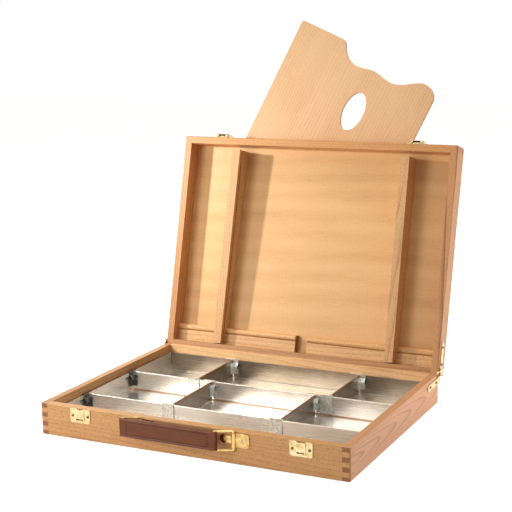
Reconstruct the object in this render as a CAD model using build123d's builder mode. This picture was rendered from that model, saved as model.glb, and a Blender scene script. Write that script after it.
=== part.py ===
"""Pochade box: a finger-jointed beech case with a hinged lid, a sheet aluminium paint tray with
lift-out dividers, sliding panel guides in the lid, a leather handle and a plywood palette.

Millimetres. The origin is the centre of the base's bottom face, +Z up, the front towards -Y.
The lid stands open on its bevelled stop.
"""

from build123d import *
from math import atan2, cos, degrees, radians, sin
import os

os.makedirs("parts", exist_ok=True)

# Case
box_width = 450.0
box_depth = 334.0
base_height = 44.6
lid_height = 29.5
board_t = 11.0
edge_r = 3.0  # rounding of the vertical corners and of the outer face's edges
rim_r = 1.2  # softening of each rim's outer edge
panel_margin = 2.5  # wood left between that rounding and the panel's rebate
bottom_panel_t = 4.0
lid_panel_t = 3.5
base_fingers = 7
lid_fingers = 5

# Clearances
rim_gap = 0.3  # between the closed lid and the base, and at the open stop
seat_gap = 0.3  # between pieces of different moving bodies that rest on each other
pivot_clear = 0.06  # radial, on pins and wires that turn
overrun = 1.0  # how far a cut is drawn past the edge that it opens

# Lid hinge
lid_open_angle = 104.4
pivot_inset = 4.0  # from the back face in to the hinge pin
hinge_t = 1.4
hinge_w = 9.0
hinge_drop = 9.8  # from each rim to the leaf's centre line
base_leaf_reach = 50.0  # from the back face to the leaf's front end
lid_leaf_reach = 50.5
hinge_tail = 5.0  # how far the base leaf's arm stands behind the back face
lid_leaf_heel = 7.5  # from the back face to where the lid leaf steps out over the base leaf
hinge_pin_r = 1.6
hinge_head_r = 2.9
base_leaf_screws = (14.6, 39.6)  # from the back face
lid_leaf_screws = (17.5, 42.2)

# Screws
screw_shank_r = 1.2
screw_length = 8.5
screw_head_r = 1.9
screw_head_h = 0.9
screw_slot = 0.6
screw_slot_turn = 35.0
screw_dome_r = 0.55

# Catches and latches
catch_inset = 64.4  # from the case's side to the middle of the catch
catch_w = 30.7
catch_h = 19.5
catch_t = 1.2
catch_drop = 0.6  # from the base's rim to the plate's top edge
catch_corner_r = 3.0
catch_screw_x = 11.7
catch_screw_drop = 10.2
hump_w = 13.0
hump_h = 16.0
hump_rise = 3.0
hump_drop = 1.0  # from the plate's top edge to the hump's open top
hump_r = 1.0
hump_slot_h = 2.0
hump_slot_lift = 1.6
latch_margin = 3.0  # from the lid's rim to the latch plate
latch_pin_d = 2.5  # from the lid's rim to the pin
latch_pin_e = 3.7  # from the lid's front face out to the pin
latch_pin_r = 1.3
knuckle_r = 2.2
knuckle_l = 1.5  # each of the hasp's two eyes
hasp_w = 15.0
hasp_t = 0.8
hasp_length = 21.3
hasp_float = 0.5  # under the folded hasp, and between the shut hasp's sides and the catch
ear_t = 1.5
ear_gap = 0.3

# Handle
handle_x = 1.7  # its middle stands a little to the right of the case's
handle_z = 33.4
handle_span = 134.4  # between the two mounts' barrels
wire_r = 1.25
barrel_r = 2.6
mount_t = 1.5
mount_plate_l = 21.2
mount_plate_h = 18.5
mount_corner_r = 4.0
mount_plate_screw = 10.1
mount_lobe_screw = 13.8
mount_lobe_r = 6.0
mount_neck_h = 9.0
ring_reach = 24.0
ring_height = 25.0
ring_sag = 0.7  # the rings hang a little below the middle of their barrels
ring_corner_r = 1.5
handle_lean = 25.0
leather_t = 8.0
leather_h = 25.2
arm_notch_l = 16.5  # the leather is cut away behind, where a ring's arms swing past
leather_edge_r = 1.5
open_pivot_clear = 0.3  # the grip's right end floats on its ring

# Paint tray
tray_gap = 1.5
tray_drop = 11.3  # from the base's rim down to the tray's top edge
sheet_t = 0.8
tray_bend_r = 2.0
hem_t = 2.0
hem_h = 5.0
corner_gap = 2.4  # the open corner's width at the top edge
corner_foot = 8.0  # height over the floor where the corner starts to open

# Dividers
front_divider_y = -77.5
middle_divider_y = 40.3
middle_row_x = (-75.5, 87.7)
back_row_x = (-101.5, 108.3)
divider_edge_r = 0.6
clip_t = 0.6
clip_strip_w = 18.0
clip_strip_shift = 4.2  # a divider's outer strip lies mostly to the left of it
clip_spring_w = 5.5  # from the divider's centre plane to the spring's side
wall_spring_w = 10.0
clip_lap = 1.0  # half the width of the flat leaf that a divider's end meets
clip_tab_l = 7.0
clip_strip_foot = 4.0  # from the tray's floor to the outer strip's end
clip_spring_foot = 7.0
clip_bulge = 5.0
clip_bulge_top = 4.5  # from the tray's top edge down to where the bulge starts
clip_bulge_h = 10.5

# Ledge in the lid
ledge_front = 15.6  # from the lid's rim plane back to the ledge's flat front
ledge_rise = 16.4
bead_r = 4.5
bead_depth = 19.0  # from the rim plane to the bead's centre
ledge_left_end = -9.5
ledge_right_end = 9.7

# Guide bars
bar_w = 13.0
bar_head_gap = 8.3  # from the bar's head to the lid's front rail
bar_foot_bevel = 1.2
bar_foot_front = 1.5  # from the rim plane, inside the lid
bar_head_front = -6.5  # from the rim plane, proud of the lid
left_bar_foot_in = 88.1  # from the case's left side to the middle of the bar's foot
left_bar_head_in = 95.3
right_bar_in = 77.4  # from the case's right side
groove_w = 4.0
groove_depth = 4.5
groove_inset = 8.0  # from the bar's front face to the groove's centre line

# Palette
palette_w = 254.0
palette_l = 352.0
palette_t = 4.0
palette_turn = 23.1
palette_x = -53.7  # its upper left corner, across the lid
palette_rise = 191.5  # and how far it stands over the open lid
palette_corner_r = 4.0
horn_share = 0.303  # the straight part of its upper edge, of the width
palette_wave = (  # the waved part, as shares of the width and drops from the straight part
    (0.322, 2.0),
    (0.347, 11.2),
    (0.382, 20.8),
    (0.457, 27.8),
    (0.575, 23.7),
    (0.709, 28.4),
    (0.819, 18.5),
    (0.906, 8.5),
    (0.972, 13.9),
    (1.0, 27.0),
)
thumb_across = 145.5
thumb_along = 91.4
thumb_l = 61.0
thumb_w = 35.0

# Places worked out from the sizes
front_y = -box_depth / 2
back_y = box_depth / 2
side_x = box_width / 2
rebate = edge_r + panel_margin
inner_w = box_width - 2 * board_t
inner_d = box_depth - 2 * board_t
hinge_y = back_y - pivot_inset
hinge_z = base_height + rim_gap / 2
floor_z = bottom_panel_t + seat_gap
tray_top = base_height - tray_drop
tray_w = inner_w - 2 * tray_gap
tray_d = inner_d - 2 * tray_gap
panel_face = lid_height - lid_panel_t
catch_x = side_x - catch_inset
handle_ends = (handle_x - handle_span / 2, handle_x + handle_span / 2)
bar_foot = board_t + seat_gap
bar_top = box_depth - board_t - bar_head_gap
palette_s = box_depth + palette_rise

front_face = Plane(origin=(0, front_y, 0), x_dir=(1, 0, 0), z_dir=(0, -1, 0))
right_face = Plane(origin=(side_x, 0, 0), x_dir=(0, 1, 0), z_dir=(1, 0, 0))

# The lid's frame when it stands open: x across, -y away from the hinge, z from the rim outwards
lid_plane = Plane(
    Pos(0, hinge_y, hinge_z)
    * Rotation(-lid_open_angle, 0, 0)
    * Pos(0, back_y - hinge_y, base_height + rim_gap - hinge_z)
)
lid_up = lid_plane.y_dir * -1
lid_outer = Plane(
    origin=lid_plane.origin + lid_up * (box_depth / 2) + lid_plane.z_dir * lid_height,
    x_dir=(1, 0, 0),
    z_dir=lid_plane.z_dir * -1,
)
lid_front_face = Plane(origin=lid_plane.origin + lid_up * box_depth, x_dir=(1, 0, 0), z_dir=lid_up)
lid_right_face = Plane(
    origin=lid_plane.origin + Vector(side_x, 0, 0), x_dir=lid_plane.y_dir, z_dir=(1, 0, 0)
)
lid_mid = Plane(origin=lid_plane.origin, x_dir=lid_plane.y_dir, z_dir=(1, 0, 0))

# Both rims are bevelled behind the pin, so the open lid comes to rest bevel to bevel
bevel_dir = Vector(0, sin(radians(lid_open_angle / 2)), cos(radians(lid_open_angle / 2)))
pivot = Vector(0, hinge_y, hinge_z)
base_bevel = Plane(origin=pivot - bevel_dir * (rim_gap / 2), x_dir=(1, 0, 0), z_dir=bevel_dir)
lid_bevel = Plane(origin=pivot + bevel_dir * (rim_gap / 2), x_dir=(1, 0, 0), z_dir=bevel_dir * -1)


def save(piece, name):
    piece.label = name
    export_step(piece, f"parts/{name}.step")


def wood_screws(seat, points):
    """Slotted round-head screws whose heads sit on the seat plane at the given points."""
    with BuildPart() as screws:
        with BuildSketch(seat):
            with Locations(*points):
                Circle(screw_shank_r)
        extrude(amount=-screw_length)
        with BuildSketch(seat):
            with Locations(*points):
                Circle(screw_head_r)
        extrude(amount=screw_head_h)
        rims = screws.edges().filter_by(GeomType.CIRCLE)
        tops = [rim for rim in rims if abs(seat.to_local_coords(rim.center()).Z - screw_head_h) < 0.01]
        fillet(tops, screw_dome_r)
        with BuildSketch(seat.offset(screw_head_h)):
            with Locations(*points):
                Rectangle(2 * screw_head_r, screw_slot, rotation=screw_slot_turn)
        extrude(amount=-screw_head_h / 2, mode=Mode.SUBTRACT)
    return screws.part


# Plates and screws that the boards are bored for

leaf_seat = right_face.offset(hinge_t)
lid_leaf_seat = lid_right_face.offset(hinge_t)
base_leaf_z = base_height - hinge_drop
base_leaf_points = [(back_y - reach, base_leaf_z) for reach in base_leaf_screws]
lid_leaf_points = [(-reach, hinge_drop) for reach in lid_leaf_screws]
right_base_hinge_screws = wood_screws(leaf_seat, base_leaf_points)
right_lid_hinge_screws = wood_screws(lid_leaf_seat, lid_leaf_points)

catch_top = base_height - catch_drop
catch_points = [
    (side * catch_x + step, catch_top - catch_screw_drop)
    for side in (-1, 1)
    for step in (-catch_screw_x, catch_screw_x)
]
catch_screws = wood_screws(front_face.offset(catch_t), catch_points)
latch_points = [
    (side * catch_x + step, latch_margin + catch_screw_drop)
    for side in (-1, 1)
    for step in (-catch_screw_x, catch_screw_x)
]
latch_screws = wood_screws(lid_front_face.offset(catch_t), latch_points)

mount_points = [
    (end + step, handle_z)
    for end in handle_ends
    for step in (-mount_lobe_screw, mount_plate_screw)
]
handle_screws = wood_screws(front_face.offset(mount_t), mount_points)

with BuildPart() as base_hinge_screws:
    add(right_base_hinge_screws)
    mirror(about=Plane.YZ)

with BuildPart() as lid_hinge_screws:
    add(right_lid_hinge_screws)
    mirror(about=Plane.YZ)

save(base_hinge_screws.part, "hinge_base_screws")
save(lid_hinge_screws.part, "hinge_lid_screws")
save(catch_screws, "catch_screws")
save(latch_screws, "latch_screws")
save(handle_screws, "handle_screws")


# Finger-jointed frames


def rounded_block(outer_plane, height):
    """The frame's outside: rounded corners, rounded edges on the outer face and a soft rim."""
    up = Axis(outer_plane.origin, outer_plane.z_dir)
    with BuildPart() as block:
        with BuildSketch(outer_plane):
            Rectangle(box_width, box_depth)
        extrude(amount=height)
        outer_edges = block.faces().sort_by(up)[0].edges()
        fillet(block.edges().filter_by(up) + outer_edges, edge_r)
        fillet(block.faces().sort_by(up)[-1].edges(), rim_r)
    return block.part


def frame_board(block, outer_plane, height, fingers, panel_t, bevel, along_x, side, cutters):
    """One board of a frame, with its fingers, its share of the panel's rebate and its bores.

    The boards along x take the odd fingers of each corner, the boards along y the even ones.
    """
    finger = height / fingers
    if along_x:
        centre = (0, side * (box_depth - board_t) / 2)
        run = (inner_w, board_t)
        full = (box_width, board_t)
    else:
        centre = (side * (box_width - board_t) / 2, 0)
        run = (board_t, inner_d)
        full = (board_t, box_depth)
    with BuildPart() as board:
        with BuildSketch(outer_plane):
            with Locations(centre):
                Rectangle(*run)
        extrude(amount=height)
        for level in range(fingers):
            if (level % 2 == 1) == along_x:
                with BuildSketch(outer_plane.offset(level * finger)):
                    with Locations(centre):
                        Rectangle(*full)
                extrude(amount=finger)
        with BuildSketch(outer_plane):
            Rectangle(box_width - 2 * rebate, box_depth - 2 * rebate)
        extrude(amount=panel_t, mode=Mode.SUBTRACT)
        with BuildSketch(bevel):
            Rectangle(box_width + board_t, 2 * board_t)
        extrude(amount=board_t, mode=Mode.SUBTRACT)
        add(block, mode=Mode.INTERSECT)
        for cutter in cutters:
            add(cutter, mode=Mode.SUBTRACT)
    return board.part


def frame_panel(outer_plane, thickness):
    with BuildPart() as panel:
        with BuildSketch(outer_plane):
            Rectangle(box_width - 2 * rebate, box_depth - 2 * rebate)
        extrude(amount=thickness)
    return panel.part


base_block = rounded_block(Plane.XY, base_height)
lid_block = rounded_block(lid_outer, lid_height)
base_frame = (base_block, Plane.XY, base_height, base_fingers, bottom_panel_t, base_bevel)
lid_frame = (lid_block, lid_outer, lid_height, lid_fingers, lid_panel_t, lid_bevel)

save(frame_board(*base_frame, True, -1, [catch_screws, handle_screws]), "base_front_board")
save(frame_board(*base_frame, True, 1, []), "base_back_board")
save(frame_board(*base_frame, False, -1, [base_hinge_screws.part]), "base_left_board")
save(frame_board(*base_frame, False, 1, [base_hinge_screws.part]), "base_right_board")
save(frame_panel(Plane.XY, bottom_panel_t), "base_bottom_panel")

save(frame_board(*lid_frame, True, 1, [latch_screws]), "lid_front_rail")
save(frame_board(*lid_frame, True, -1, []), "lid_back_rail")
save(frame_board(*lid_frame, False, -1, [lid_hinge_screws.part]), "lid_left_rail")
save(frame_board(*lid_frame, False, 1, [lid_hinge_screws.part]), "lid_right_rail")
save(frame_panel(lid_outer, lid_panel_t), "lid_panel")


# Strap hinges on the side faces: the lid's leaf steps out over the base's, on a headed pin

eye_on_base = (hinge_y, hinge_z)
base_leaf_tip = (back_y - base_leaf_reach + hinge_w / 2, base_leaf_z)
base_leaf_end = (back_y + hinge_tail - hinge_w / 2, base_leaf_z)
eye_on_lid = (hinge_y - back_y, hinge_z - base_height - rim_gap)
lid_leaf_tip = (hinge_w / 2 - lid_leaf_reach, hinge_drop)
lid_leaf_end = (-lid_leaf_heel, hinge_drop)
outer_layer = hinge_t + seat_gap


def link(start, end, width):
    """A bar with round ends between two points of the sketch in hand."""
    run = Vector(*end) - Vector(*start)
    with Locations(Vector(*start) + run / 2):
        SlotCenterToCenter(run.length, width, rotation=degrees(atan2(run.Y, run.X)))


with BuildPart() as base_leaf:
    with BuildSketch(right_face):
        link(base_leaf_tip, base_leaf_end, hinge_w)
        link(base_leaf_end, eye_on_base, hinge_w)
        with Locations(eye_on_base):
            Circle(hinge_pin_r, mode=Mode.SUBTRACT)
    extrude(amount=hinge_t)
    add(right_base_hinge_screws, mode=Mode.SUBTRACT)

with BuildPart() as lid_leaf:
    with BuildSketch(lid_right_face):
        link(lid_leaf_tip, lid_leaf_end, hinge_w)
    extrude(amount=hinge_t)
    with BuildSketch(lid_right_face):
        with Locations(lid_leaf_end):
            Circle(hinge_w / 2)
    extrude(amount=outer_layer + hinge_t)
    with BuildSketch(lid_right_face.offset(outer_layer)):
        link(lid_leaf_end, eye_on_lid, hinge_w)
        with Locations(eye_on_lid):
            Circle(hinge_pin_r + pivot_clear, mode=Mode.SUBTRACT)
    extrude(amount=hinge_t)
    add(right_lid_hinge_screws, mode=Mode.SUBTRACT)

with BuildPart() as hinge_pins:
    with BuildSketch(right_face):
        with Locations(eye_on_base):
            Circle(hinge_pin_r)
    extrude(amount=outer_layer + hinge_t + seat_gap)
    with BuildSketch(right_face.offset(outer_layer + hinge_t + seat_gap)):
        with Locations(eye_on_base):
            Circle(hinge_head_r)
    extrude(amount=screw_head_h)
    fillet(hinge_pins.faces().sort_by(Axis.X)[-1].edges(), screw_dome_r)
    mirror(about=Plane.YZ)

save(base_leaf.part, "hinge_base_leaf_right")
save(base_leaf.part.mirror(Plane.YZ), "hinge_base_leaf_left")
save(lid_leaf.part, "hinge_lid_leaf_right")
save(lid_leaf.part.mirror(Plane.YZ), "hinge_lid_leaf_left")
save(hinge_pins.part, "hinge_pins")


# Catch plates on the base, each with a hollow hump that the hasp hooks over


def catch_plate(x):
    hump_top = catch_top - hump_drop
    hump_z = hump_top - hump_h / 2
    slot_z = hump_top - hump_h + hump_slot_lift + hump_slot_h / 2
    hollow_h = hump_h - hump_slot_lift
    with BuildPart() as plate:
        with BuildSketch(front_face) as outline:
            with Locations((x, catch_top - catch_h / 2)):
                Rectangle(catch_w, catch_h)
            fillet(outline.vertices().group_by(Axis.Y)[0], catch_corner_r)
        extrude(amount=catch_t)
        with BuildSketch(front_face):
            with Locations((x, hump_z)):
                Rectangle(hump_w, hump_h)
        extrude(amount=hump_rise)
        brow = plate.faces().sort_by(Axis.Y)[0].edges()
        fillet(brow.sort_by(Axis.Z)[:-1], hump_r)
        with BuildSketch(front_face):
            with Locations((x, hump_top + hump_drop - hollow_h / 2)):
                Rectangle(hump_w - 2 * catch_t, hollow_h)
        extrude(amount=hump_rise - catch_t, mode=Mode.SUBTRACT)
        with BuildSketch(front_face):
            with Locations((x, slot_z), (x, catch_top)):
                Rectangle(hump_w - 2 * catch_t, hump_slot_h)
        extrude(amount=hump_rise, mode=Mode.SUBTRACT)
        add(catch_screws, mode=Mode.SUBTRACT)
    return plate.part


# Latches on the lid: a plate with two ears, a pin, and a channel-shaped hasp folded back on it


def latch_plate(x):
    ear_x = hasp_w / 2 + ear_gap + ear_t / 2
    with BuildPart() as plate:
        with BuildSketch(lid_front_face) as outline:
            with Locations((x, latch_margin + catch_h / 2)):
                Rectangle(catch_w, catch_h)
            fillet(outline.vertices().group_by(Axis.Y)[-1], catch_corner_r)
        extrude(amount=catch_t)
        for side in (-1, 1):
            ear_face = lid_mid.offset(x + side * ear_x - ear_t / 2)
            tip = (-box_depth - latch_pin_e, latch_pin_d)
            with BuildSketch(ear_face):
                link((-box_depth - knuckle_r, latch_pin_d), tip, 2 * knuckle_r)
                with Locations((-box_depth - catch_t / 2, latch_pin_d + knuckle_r)):
                    Rectangle(catch_t, 2 * knuckle_r)
                with Locations(tip):
                    Circle(latch_pin_r, mode=Mode.SUBTRACT)
            extrude(amount=ear_t)
        add(latch_screws, mode=Mode.SUBTRACT)
    return plate.part


def hasp(x):
    web_e = catch_t + hasp_float
    flange_e = 2 * latch_pin_e - web_e
    flange_l = hasp_length - catch_corner_r
    web_start = latch_pin_d + latch_pin_r + ear_gap
    web_end = latch_pin_d + hasp_length
    with BuildPart() as channel:
        with BuildSketch(lid_front_face.offset(web_e)) as outline:
            with Locations((x, (web_start + web_end) / 2)):
                Rectangle(hasp_w, web_end - web_start)
            fillet(outline.vertices().group_by(Axis.Y)[-1], catch_corner_r)
        extrude(amount=hasp_t)
        for side in (-1, 1):
            with BuildSketch(lid_front_face.offset(web_e)):
                with Locations((x + side * (hasp_w - hasp_t) / 2, latch_pin_d + flange_l / 2)):
                    Rectangle(hasp_t, flange_l)
            extrude(amount=flange_e - web_e)
            with BuildSketch(lid_mid.offset(x + side * hasp_w / 2)):
                with Locations((-box_depth - latch_pin_e, latch_pin_d)):
                    Circle(knuckle_r)
            extrude(amount=-side * knuckle_l)
        with BuildSketch(lid_mid.offset(x - hasp_w / 2)):
            with Locations((-box_depth - latch_pin_e, latch_pin_d)):
                Circle(latch_pin_r + pivot_clear)
        extrude(amount=hasp_w, mode=Mode.SUBTRACT)
    return channel.part


def latch_pin(x):
    length = hasp_w + 2 * (ear_gap + ear_t)
    with BuildPart() as pin:
        with BuildSketch(lid_mid.offset(x - length / 2)):
            with Locations((-box_depth - latch_pin_e, latch_pin_d)):
                Circle(latch_pin_r)
        extrude(amount=length)
    return pin.part


for side, name in ((-1, "left"), (1, "right")):
    save(catch_plate(side * catch_x), f"catch_plate_{name}")
    save(latch_plate(side * catch_x), f"latch_plate_{name}")
    save(hasp(side * catch_x), f"latch_hasp_{name}")

with BuildPart() as latch_pins:
    for side in (-1, 1):
        add(latch_pin(side * catch_x))

save(latch_pins.part, "latch_pins")


# Handle: two mounts with upright barrels, two wire rings and the leather grip between them

barrel_y = front_y - barrel_r
lean_x = -ring_reach * cos(radians(handle_lean))
lean_y = -ring_reach * sin(radians(handle_lean))
ring_dir = Vector(lean_x, lean_y, 0)
ring_z = handle_z - ring_sag
arm_clear = ring_height / 2 - max(wire_r + seat_gap, ring_corner_r)
barrel_foot = handle_z - mount_plate_h / 2


def handle_mount(x):
    with BuildPart() as mount:
        with BuildSketch(front_face):
            with Locations((x + mount_plate_l / 2, handle_z)):
                RectangleRounded(mount_plate_l, mount_plate_h, mount_corner_r)
            with Locations((x + mount_corner_r, handle_z)):
                Rectangle(2 * mount_corner_r, mount_plate_h)
            with Locations((x - mount_lobe_screw / 2, handle_z)):
                Rectangle(mount_lobe_screw, mount_neck_h)
            with Locations((x - mount_lobe_screw, handle_z)):
                Circle(mount_lobe_r)
        extrude(amount=mount_t)
        with BuildSketch(Plane.XY.offset(barrel_foot)):
            with Locations((x, barrel_y)):
                Circle(barrel_r)
            with Locations((x, (front_y + barrel_y) / 2)):
                Rectangle(2 * barrel_r, barrel_r)
        extrude(amount=mount_plate_h)
        with BuildSketch(Plane.XY.offset(barrel_foot)):
            with Locations((x, barrel_y)):
                Circle(wire_r + pivot_clear)
        extrude(amount=mount_plate_h, mode=Mode.SUBTRACT)
        add(handle_screws, mode=Mode.SUBTRACT)
    return mount.part


def handle_ring(x):
    across_ring = ring_dir.cross(Vector(0, 0, 1))
    ring_plane = Plane(origin=(x, barrel_y, ring_z), x_dir=ring_dir, z_dir=across_ring)
    corners = [
        (0, -ring_height / 2),
        (ring_reach, -ring_height / 2),
        (ring_reach, ring_height / 2),
        (0, ring_height / 2),
    ]
    with BuildPart() as ring:
        with BuildLine(ring_plane) as loop:
            FilletPolyline(*corners, radius=ring_corner_r, close=True)
        with BuildSketch(Plane(origin=loop.line @ 0, z_dir=loop.line % 0)):
            Circle(wire_r)
        sweep(path=loop.line)
    return ring.part


left_end, right_end = [(end + lean_x, barrel_y + lean_y) for end in handle_ends]

leather_foot = Plane.XY.offset(ring_z - leather_h / 2)
notch_front = barrel_y + lean_y - wire_r - seat_gap
notch_h = leather_h / 2 - arm_clear

with BuildPart() as leather:
    with BuildSketch(leather_foot):
        with Locations((handle_x + lean_x, barrel_y + lean_y)):
            SlotCenterToCenter(handle_span, leather_t)
    extrude(amount=leather_h)
    fillet(leather.faces().filter_by(Plane.XY).edges(), leather_edge_r)
    with BuildSketch(leather_foot):
        with Locations(left_end):
            Circle(wire_r + pivot_clear)
        with Locations(right_end):
            Circle(wire_r + open_pivot_clear)
    extrude(amount=leather_h, mode=Mode.SUBTRACT)
    for notch_z in (ring_z - leather_h / 2, ring_z + arm_clear):
        with BuildSketch(Plane.XY.offset(notch_z)):
            with Locations(*[(end_x, notch_front + leather_t / 2) for end_x, end_y in (left_end, right_end)]):
                Rectangle(2 * arm_notch_l, leather_t)
        extrude(amount=notch_h, mode=Mode.SUBTRACT)

for end, name in zip(handle_ends, ("left", "right")):
    save(handle_mount(end), f"handle_mount_{name}")
    save(handle_ring(end), f"handle_ring_{name}")
save(leather.part, "handle_leather")


# Paint tray of folded sheet, with hemmed top edges and open corners


def tray_shell(margin, foot, bend_r):
    with BuildPart() as shell:
        with BuildSketch(Plane.XY.offset(foot)):
            Rectangle(tray_w - 2 * margin, tray_d - 2 * margin)
        extrude(amount=tray_top - foot)
        fillet(shell.edges().group_by(Axis.Z)[0], bend_r)
    return shell.part


corner_x = tray_w / 2
corner_y = tray_d / 2

with BuildPart() as tray:
    add(tray_shell(0, floor_z, tray_bend_r))
    add(tray_shell(sheet_t, floor_z + sheet_t, tray_bend_r - sheet_t), mode=Mode.SUBTRACT)
    with BuildSketch(Plane.XY.offset(tray_top - hem_h)):
        Rectangle(tray_w, tray_d)
        Rectangle(tray_w - 2 * hem_t, tray_d - 2 * hem_t, mode=Mode.SUBTRACT)
    extrude(amount=hem_h)
    for across in (-1, 1):
        for along in (-1, 1):
            corner = Vector(across * corner_x, along * corner_y, 0)
            cut_plane = Plane(origin=corner, x_dir=(across, -along, 0), z_dir=(across, along, 0))
            with BuildSketch(cut_plane.offset(-2 * hem_t)):
                with BuildLine():
                    foot = floor_z + corner_foot
                    rise = (tray_top - foot) * (1 if cut_plane.y_dir.Z > 0 else -1)
                    base = foot * (1 if cut_plane.y_dir.Z > 0 else -1)
                    Polyline(
                        (0, base),
                        (corner_gap / 2, base + rise),
                        (-corner_gap / 2, base + rise),
                        close=True,
                    )
                make_face()
            extrude(amount=4 * hem_t, mode=Mode.SUBTRACT)

save(tray.part, "paint_tray")


# Dividers of hemmed sheet, and the spring clips that carry them on the edges they cross

hem_clear = hem_t / 2 + seat_gap  # from a carrier's centre plane to the clip's leaf
clip_reach = hem_clear + clip_t
clip_top = tray_top + seat_gap
divider_foot = floor_z + sheet_t + seat_gap
strip_foot = floor_z + clip_strip_foot
spring_foot = floor_z + clip_spring_foot
bulge_top = tray_top - clip_bulge_top
bulge_foot = bulge_top - clip_bulge_h
bulge_mid = (bulge_top + bulge_foot) / 2
side_wall_x = tray_w / 2 - hem_t / 2
back_wall_y = tray_d / 2 - hem_t / 2


def divider(plane, length):
    """A hemmed strip across the plane: its x runs along the strip, its origin is mid-length."""
    with BuildPart() as strip:
        with BuildSketch(plane.offset(divider_foot)):
            Rectangle(length, sheet_t)
        extrude(amount=tray_top - divider_foot)
        with BuildSketch(plane.offset(tray_top - hem_h)):
            Rectangle(length, hem_t)
        extrude(amount=hem_h)
        upper = strip.edges().group_by(Axis.Z)[-1].filter_by(Axis(plane.origin, plane.x_dir))
        fillet(upper, divider_edge_r)
    return strip.part


def spring_clip(plane, tab_dir, spring_w, strip_shift=0):
    """A clip on the carrier whose centre line is the plane's x axis; the divider comes in from +y.

    tab_dir is the side of the divider, along the plane's x, that the clip lies on, and
    strip_shift is how far its outer strip stands out to that side.
    """
    side = Plane(origin=plane.origin, x_dir=plane.y_dir, z_dir=plane.x_dir * tab_dir)
    up = 1 if side.y_dir.Z > 0 else -1
    saddle = [
        (-clip_reach, strip_foot),
        (-clip_reach, clip_top + clip_t),
        (clip_reach, clip_top + clip_t),
        (clip_reach, spring_foot),
        (hem_clear, spring_foot),
        (hem_clear, clip_top),
        (-hem_clear, clip_top),
        (-hem_clear, strip_foot),
    ]
    strip = saddle[:3] + [(clip_reach, clip_top), (-hem_clear, clip_top), (-hem_clear, strip_foot)]
    spring = [
        (hem_clear, clip_top),
        (hem_clear, bulge_top),
        (hem_clear + clip_bulge, bulge_mid),
        (hem_clear, bulge_foot),
        (hem_clear, spring_foot),
        (clip_reach, spring_foot),
        (clip_reach, bulge_foot),
        (clip_reach + clip_bulge, bulge_mid),
        (clip_reach, bulge_top),
        (clip_reach, clip_top),
    ]
    pieces = [
        (saddle, -clip_lap, clip_lap),
        (strip, strip_shift - clip_strip_w / 2, -clip_lap),
        (strip, clip_lap, strip_shift + clip_strip_w / 2),
        (spring, clip_lap, spring_w),
    ]
    tab_rise = tray_top - hem_h - spring_foot
    with BuildPart() as clip:
        for outline, start, end in pieces:
            with BuildSketch(side.offset(start)):
                with BuildLine():
                    Polyline(*[(along, up * height) for along, height in outline], close=True)
                make_face()
            extrude(amount=end - start)
        with BuildSketch(side.offset(sheet_t / 2)):
            with Locations((clip_reach + clip_tab_l / 2, up * (spring_foot + tab_rise / 2))):
                Rectangle(clip_tab_l, tab_rise)
        extrude(amount=clip_lap - sheet_t / 2)
    return clip.part


def crossing(x, y, heading):
    """A plane at a carrier, whose +y points the way the clipped divider runs."""
    heading = Vector(*heading)
    return Plane(origin=(x, y, 0), x_dir=(heading.Y, -heading.X, 0), z_dir=(0, 0, 1))


long_half = side_wall_x - clip_reach
save(divider(Plane(origin=(0, front_divider_y, 0)), 2 * long_half), "long_divider_front")
save(divider(Plane(origin=(0, middle_divider_y, 0)), 2 * long_half), "long_divider_middle")

with BuildPart() as wall_clips:
    for row_y in (front_divider_y, middle_divider_y):
        add(spring_clip(crossing(-side_wall_x, row_y, (1, 0)), 1, wall_spring_w))
        add(spring_clip(crossing(side_wall_x, row_y, (-1, 0)), 1, wall_spring_w))

save(wall_clips.part, "wall_clips")


def cross_divider(x, start_y, end_y, end_spring_w, name):
    mid_y = (start_y + end_y) / 2
    strip_plane = Plane(origin=(x, mid_y, 0), x_dir=(0, 1, 0), z_dir=(0, 0, 1))
    strip = divider(strip_plane, end_y - start_y - 2 * clip_reach)
    with BuildPart() as clips:
        add(spring_clip(crossing(x, start_y, (0, 1)), -1, clip_spring_w, clip_strip_shift))
        add(spring_clip(crossing(x, end_y, (0, -1)), -1, end_spring_w, -clip_strip_shift))
    save(strip, f"cross_divider_{name}")
    save(clips.part, f"divider_clips_{name}")


for x, name in zip(middle_row_x, ("middle_left", "middle_right")):
    cross_divider(x, front_divider_y, middle_divider_y, clip_spring_w, name)
for x, name in zip(back_row_x, ("back_left", "back_right")):
    cross_divider(x, middle_divider_y, back_wall_y, wall_spring_w, name)


# Ledge in the lid: a board with a bead along its top edge, in two lengths with a gap between

fascia_top = board_t + ledge_rise
bead_s = fascia_top + bead_r


def ledge_section(clear):
    """The ledge's section, grown all round by a clearance, in the sketch in hand."""
    with Locations(((-board_t - fascia_top) / 2, (ledge_front + panel_face) / 2)):
        Rectangle(ledge_rise + 2 * clear, panel_face - ledge_front + 2 * clear)
    with Locations((-bead_s, (bead_depth + panel_face) / 2)):
        Rectangle(2 * (bead_r + clear), panel_face - bead_depth + 2 * clear)
    with Locations((-bead_s, bead_depth)):
        Circle(bead_r + clear)


def ledge(start, end):
    with BuildPart() as strip:
        with BuildSketch(lid_mid.offset(start)):
            ledge_section(0)
        extrude(amount=end - start)
    return strip.part


save(ledge(-inner_w / 2, ledge_left_end), "ledge_left")
save(ledge(ledge_right_end, inner_w / 2), "ledge_right")


# Guide bars: tapered, grooved on their inward sides, and cut out at the back to ride on the ledge

bar_back = panel_face - seat_gap
bar_low_back = ledge_front - seat_gap
taper = (bar_head_front - bar_foot_front) / (bar_top - bar_foot)


def bar_front(s):
    return bar_foot_front + taper * (s - bar_foot)


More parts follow.
